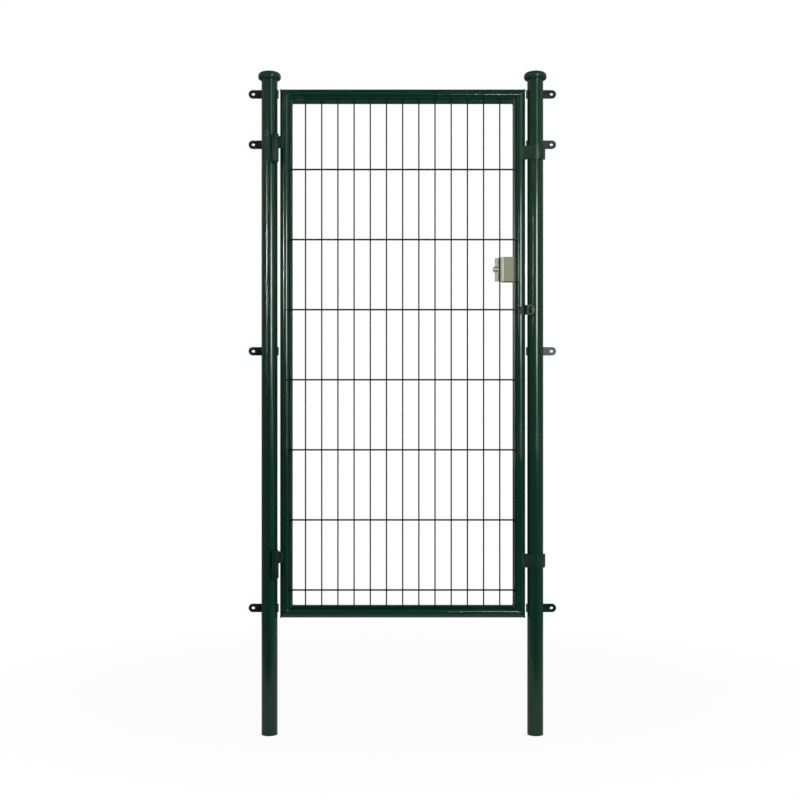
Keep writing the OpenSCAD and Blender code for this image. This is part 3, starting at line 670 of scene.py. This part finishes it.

# lock: short beads of weld under and over the case, weld lumps by its right corners kept dark to stand in for
# shade there, and its cover rivets
lockTrim = {"width": 4.4 * mm, "height": 1.8 * mm, "sink": 1.8 * mm, "ripple": 2.2 * mm,
            "beadInset": 0.5 * mm, "beadLean": 0.5,
            "rivetR": 2.6 * mm, "rivetHigh": 1.3 * mm, "rivetInset": 8 * mm, "rivetEdge": 17 * mm,
            "rivetSink": 0.2 * mm,
            "lumpsAbove": 2, "lumpsBelow": 3, "lumpR": 4.0 * mm, "lumpHigh": 2.4 * mm, "lumpLong": 1.3,
            "lumpIn": 3 * mm, "lumpStep": 2 * mm, "lumpPitch": 4.5 * mm, "lumpBack": 1.5 * mm}
caseLow, caseHigh, _ = span("lock_case")
shape = bmesh.new()
for z, up in ((caseHigh.z, 1), (caseLow.z, -1)):
    for y in (-barHalf, barHalf):
        out = Vector((0, math.copysign(lockTrim["beadLean"], y), up)).normalized()
        path = [(Vector((x, y, z)), out) for x in (lockBarLow.x + lockTrim["beadInset"], lockBarHigh.x)]
        bead(shape, path, lockTrim, 700 + int(y > 0) + up)
# the lumps, in the darker fitting coat, are a dark stand-in for shade beside the case's right corners
for z, up, count in ((caseHigh.z, 1, lockTrim["lumpsAbove"]), (caseLow.z, -1, lockTrim["lumpsBelow"])):
    for i in range(count):
        x = caseHigh.x + lockTrim["lumpIn"] + (i % 2) * lockTrim["lumpStep"]
        y = -roundReach(tubeR, x - lockMid.x)
        lumpZ = z + up * (i * lockTrim["lumpPitch"] - lockTrim["lumpBack"])
        blob(shape, Vector((x, y, lumpZ)), Vector((x - lockMid.x, y, 0)),
             lockTrim["lumpR"], lockTrim["lumpHigh"], 720 + i * 3 + up, lockTrim["lumpLong"])
finishPiece(shape, "caseWeldsAndShadeLumps", "leaf", fittingCoat)

# a low domed head with a rolled foot: each ring's share of the radius and of the height
rivetHead = {"sides": 24,
             "rings": ((1.0, 0.0), (1.02, 0.18), (0.96, 0.36), (0.80, 0.66), (0.55, 0.88), (0.28, 0.98))}


def rivet(shape, centre, out, radius, height):
    out, level, up = facing(out)
    turns = [2 * math.pi * k / rivetHead["sides"] for k in range(rivetHead["sides"])]
    ways = [level * math.cos(a) + up * math.sin(a) for a in turns]
    rings = [[shape.verts.new(centre + out * h * height + way * r * radius) for way in ways]
             for r, h in rivetHead["rings"]]
    for low, high in zip(rings, rings[1:]):
        band(shape, low, high)
    shape.faces.new(rings[-1])
    shape.faces.new(rings[0][::-1])


shape = bmesh.new()
for y, way in ((caseLow.y, -1), (caseHigh.y, 1)):
    for z in (caseHigh.z - lockTrim["rivetInset"], caseLow.z + lockTrim["rivetInset"]):
        centre = Vector((caseLow.x + lockTrim["rivetEdge"], y - way * lockTrim["rivetSink"], z))
        rivet(shape, centre, Vector((0, way, 0)), lockTrim["rivetR"], lockTrim["rivetHigh"])
finishPiece(shape, "caseRivets", "leaf", zincTrim)
print("lock trim made")

# caps: small moulding mark on the crown
capMark = {"radius": 3.2 * mm, "height": 0.5 * mm, "sink": 0.12 * mm}
nearlyUp = Vector((0, 0.0001, 1))  # straight up would leave the mark no level way
for capName, label in (("hinge_post_cap", "hingeCapMark"), ("lock_post_cap", "lockCapMark")):
    _, capHigh, capMid = span(capName)
    shape = bmesh.new()
    top = Vector((capMid.x, capMid.y, capHigh.z - capMark["sink"]))
    rivet(shape, top, nearlyUp, capMark["radius"], capMark["height"])
    finishPiece(shape, label, "posts", capSkin)
print("cap marks made")


def seenDirectly(tree, mirrorShare):
    # one for the camera, and a share for what smooth surfaces mirror
    rays = add(tree, "LightPath")
    mirrored = calc(tree, "MAXIMUM", rays.outputs["Is Glossy Ray"], rays.outputs["Is Transmission Ray"])
    mirrored = calc(tree, "MULTIPLY", mirrored, mirrorShare)
    return calc(tree, "MAXIMUM", rays.outputs["Is Camera Ray"], mirrored)


# floor: pale, keeps a soft shadow, and melts into the white background
floorLook = {
    "halfWide": 2.2, "halfDeep": 1.75, "middleY": 0.8, "drop": 0.2 * mm, "sides": 96,
    "tone": (0.65, 0.65, 0.65, 1), "toneB": (0.6305, 0.6305, 0.6305, 1), "grainScale": 60.0,
    "whiteNear": 0.945, "nearR": 0.45, "farR": 0.97, "mirrorShare": 0.05,
}


def floorPaint(middle, reach):
    mat = bpy.data.materials.new("paleFloor")
    mat.use_nodes = True
    tree = mat.node_tree
    tree.nodes.clear()
    place = add(tree, "NewGeometry").outputs["Position"]
    away = add(tree, "VectorMath", {0: place, 1: middle}, operation="SUBTRACT").outputs[0]
    away = add(tree, "VectorMath", {0: away, 1: reach}, operation="DIVIDE").outputs[0]
    away = add(tree, "VectorMath", {0: away}, operation="LENGTH").outputs["Value"]
    share = spread(tree, away, floorLook["nearR"], floorLook["farR"], floorLook["whiteNear"], 1.0)
    share = calc(tree, "MULTIPLY", seenDirectly(tree, floorLook["mirrorShare"]), share)
    grain = cloudy(tree, place, floorLook["grainScale"])
    matt = add(tree, "BsdfDiffuse", {"Color": blendColour(tree, grain, floorLook["tone"], floorLook["toneB"])})
    white = add(tree, "Emission", {"Color": (1, 1, 1, 1), "Strength": 1.0})
    mix = add(tree, "MixShader", {0: share, 1: matt.outputs[0], 2: white.outputs[0]})
    add(tree, "OutputMaterial", {0: mix.outputs[0]})
    return mat


def makeFloor():
    shape = bmesh.new()
    middle = Vector(((cadBox[0].x + cadBox[1].x) / 2, floorLook["middleY"], -floorLook["drop"]))
    reach = Vector((floorLook["halfWide"], floorLook["halfDeep"], 1))
    turns = [2 * math.pi * i / floorLook["sides"] for i in range(floorLook["sides"])]
    rim = [middle + Vector((math.cos(a) * reach.x, math.sin(a) * reach.y, 0)) for a in turns]
    shape.faces.new([shape.verts.new(point) for point in rim])
    mesh = bpy.data.meshes.new("studioFloor")
    shape.to_mesh(mesh)
    shape.free()
    mesh.materials.append(floorPaint(middle, reach))
    floor = bpy.data.objects.new("studioFloor", mesh)
    bpy.context.scene.collection.objects.link(floor)


makeFloor()

# studio: dim grey room with a white sweep behind, softboxes to both sides and one narrow lamp for each rail
studioLook = {
    "left": 0.12, "leftEdges": (-0.9, -0.1), "right": 0.18, "rightEdges": (0.1, 0.9),
    "rise": 0.30, "riseEdges": (0.0, 0.4), "ceiling": 0.25, "ceilingEdges": (0.3, 0.7),
    "fillLeft": 0.56, "fillRight": 0.54, "fillBelow": 0.3, "belowEdges": (-0.25, 0.05),
    "behindEdges": (-0.05, 0.25), "mirrorShare": 0.08,
}
softboxes = {
    "rightBox": {"place": (1.92, -3.02, 2.08), "aim": (0.5, 0, 1.6), "size": (0.80, 0.95),
                 "radiance": 22.0, "spread": 180},
    "rightTopBox": {"place": (2.10, -3.02, 3.30), "aim": (0.5, 0, 2.4), "size": (0.50, 0.60),
                    "radiance": 4.0, "spread": 180},
    "leftBox": {"place": (-4.86, -7.20, 2.90), "aim": (0, 0, 1.98), "size": (0.9, 0.42),
                "radiance": 260.0, "spread": 11},
    "lowBox": {"place": (1.47, -1.35, 1.27), "aim": (0.9, 0, 1.3), "size": (0.35, 0.45),
               "radiance": 3.0, "spread": 140},
    "topRailBox": {"place": (1.62, -6.50, 1.97), "aim": (0.85, 0, 2.41), "size": (0.60, 0.25),
                   "radiance": 190.0, "spread": 5},
    "lowRailBox": {"place": (1.62, -6.50, 3.30), "aim": (0.85, 0, 0.46), "size": (0.60, 0.25),
                   "radiance": 150.0, "spread": 5},
}


def makeWorld():
    look = studioLook
    world = bpy.data.worlds.new("studioWorld")
    bpy.context.scene.world = world
    world.use_nodes = True
    tree = world.node_tree
    tree.nodes.clear()
    x, y, z = add(tree, "SeparateXYZ", {0: add(tree, "TexCoord").outputs["Generated"]}).outputs
    # what shiny surfaces mirror of the room, darker overhead
    sides = calc(tree, "ADD", spread(tree, x, *look["leftEdges"], look["left"], 0.0),
                 spread(tree, x, *look["rightEdges"], 0.0, look["right"]))
    upper = calc(tree, "MULTIPLY", spread(tree, z, *look["riseEdges"], 0.0, look["rise"]),
                 spread(tree, z, *look["ceilingEdges"], 1.0, look["ceiling"]))
    room = calc(tree, "ADD", sides, upper)
    # even fill for dull surfaces, dimmer from below
    fill = calc(tree, "MULTIPLY", spread(tree, x, -1.0, 1.0, look["fillLeft"], look["fillRight"]),
                spread(tree, z, *look["belowEdges"], look["fillBelow"], 1.0))
    dull = add(tree, "LightPath").outputs["Is Diffuse Ray"]
    dim = add(tree, "Background", {"Color": spread(tree, dull, 0.0, 1.0, room, fill), "Strength": 1.0})
    white = add(tree, "Background", {"Color": (1, 1, 1, 1), "Strength": 1.0})
    behind = spread(tree, y, *look["behindEdges"], 0.0, look["mirrorShare"])
    mix = add(tree, "MixShader", {0: seenDirectly(tree, behind), 1: dim.outputs[0], 2: white.outputs[0]})
    add(tree, "OutputWorld", {0: mix.outputs[0]})


def makeSoftbox(name, look):
    lamp = bpy.data.lights.new(name, "AREA")
    lamp.shape = "RECTANGLE"
    lamp.size, lamp.size_y = look["size"]
    lamp.spread = math.radians(look["spread"])
    half = lamp.spread / 2
    narrow = 1 - half / math.tan(half)  # a narrower beam needs less power for the same brightness
    lamp.energy = look["radiance"] * math.pi * look["size"][0] * look["size"][1] * narrow
    box = bpy.data.objects.new(name, lamp)
    bpy.context.scene.collection.objects.link(box)
    box.location = look["place"]
    box.rotation_euler = (Vector(look["aim"]) - Vector(look["place"])).to_track_quat("-Z", "Y").to_euler()


makeWorld()
for boxName, boxLook in softboxes.items():
    makeSoftbox(boxName, boxLook)

# camera: level, in front of the gate, at about the height of its middle
viewLook = {"place": (0.491, -4.400, 1.190), "lens": 52.6, "sensor": 36.0, "shiftUp": 0.0225}
camData = bpy.data.cameras.new("studioCamera")
camData.lens = viewLook["lens"]
camData.sensor_width = viewLook["sensor"]
camData.shift_y = viewLook["shiftUp"]
camera = bpy.data.objects.new("studioCamera", camData)
bpy.context.scene.collection.objects.link(camera)
camera.location = viewLook["place"]
camera.rotation_euler = (math.radians(90), 0, 0)
bpy.context.scene.camera = camera
bpy.context.scene.view_settings.view_transform = "Standard"
print("studio ready")
